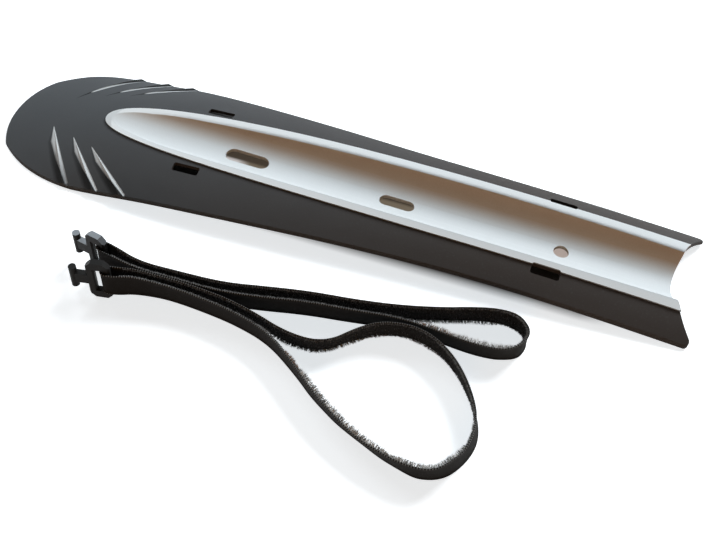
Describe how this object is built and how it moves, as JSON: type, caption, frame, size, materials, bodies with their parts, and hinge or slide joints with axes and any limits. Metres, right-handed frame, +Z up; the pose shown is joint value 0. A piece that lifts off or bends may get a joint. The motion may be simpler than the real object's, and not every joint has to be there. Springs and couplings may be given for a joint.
{
  "type": "bicycle mudguard",
  "caption": "Clip-on bicycle mudguard: arched black blade with raised gills and a silver trough that is strapped under the down tube, with T-hook tape straps lying beside it.",
  "frame": {"origin": "on the surface that the guard rests on, under the middle of the guard's length and width", "axes": "+X from the nose to the hollowed tail, +Y to the left when looking along +X, +Z up"},
  "size_m": [0.42, 0.2138, 0.0265],
  "materials": {
    "blade_plastic": "black moulded plastic with a fine matte grain",
    "cradle_plastic": "silver-white satin moulded plastic",
    "strap_tape": "black woven hook-and-loop tape",
    "hook_plastic": "black moulded plastic, slightly glossy"
  },
  "bodies": {
    "root": {"blade": "blade_plastic", "cradle": "cradle_plastic", "front_strap": "strap_tape", "rear_strap": "strap_tape", "front_hook": "hook_plastic", "rear_hook": "hook_plastic"}
  },
  "joints": []
}
